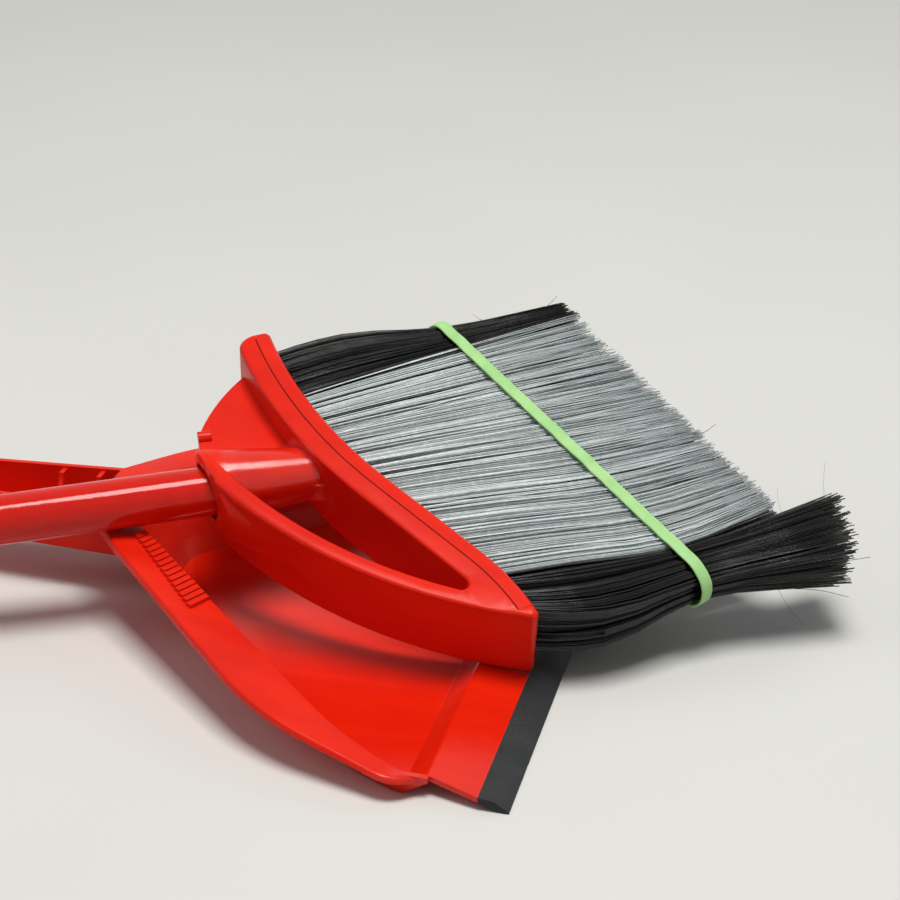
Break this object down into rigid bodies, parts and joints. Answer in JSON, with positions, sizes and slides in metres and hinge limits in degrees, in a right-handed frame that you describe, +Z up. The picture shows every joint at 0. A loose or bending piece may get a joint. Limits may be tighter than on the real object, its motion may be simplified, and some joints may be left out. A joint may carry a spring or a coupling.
{
  "type": "dust pan and broom set",
  "caption": "Red angle broom with a long screw-in pole lying loose on a wide dust pan with a ramped rubber lip, combing ridges and a channel handle.",
  "frame": {"origin": "on the floor under the middle of the pan, midway between the handle's root and the lip's front edge", "axes": "+X from the pan's handle towards its lip, +Y to the side where the broom's head is raised, +Z up"},
  "size_m": [1.35, 0.7122, 0.1163],
  "materials": {
    "pan_plastic": "glossy red moulding, satin on the rim",
    "lip_rubber": "matt dark grey",
    "head_plastic": "satin red moulding",
    "black_bristle": "glossy black fibre",
    "grey_bristle": "pale grey fibre",
    "band_rubber": "matt pale green",
    "pole_paint": "glossy red coating",
    "fitting_plastic": "plain black moulding",
    "cap_plastic": "satin red moulding"
  },
  "bodies": {
    "dust_pan": {"dust_pan": "pan_plastic", "pan_lip": "lip_rubber"},
    "broom": {"broom_head": "head_plastic", "tuft_block": "head_plastic", "far_black_bristles": "black_bristle", "upper_grey_bristles": "grey_bristle", "core_black_bristles": "black_bristle", "lower_grey_bristles": "grey_bristle", "near_black_bristles": "black_bristle", "bristle_band": "band_rubber"},
    "pole": {"pole_tube": "pole_paint", "pole_thread_tip": "fitting_plastic", "pole_end_cap": "cap_plastic"}
  },
  "joints": [
    {"name": "broom_lift", "type": "slide", "parent": "dust_pan", "child": "broom", "axis": [0, 0, 1], "range_m": [0, 0.25]},
    {"name": "pole_screw", "type": "hinge", "parent": "broom", "child": "pole", "pos_m": [-0.06165, -0.0209, 0.06155], "axis": [-0.8918, -0.4505, -0.0431], "range_deg": [0, 1170]}
  ]
}
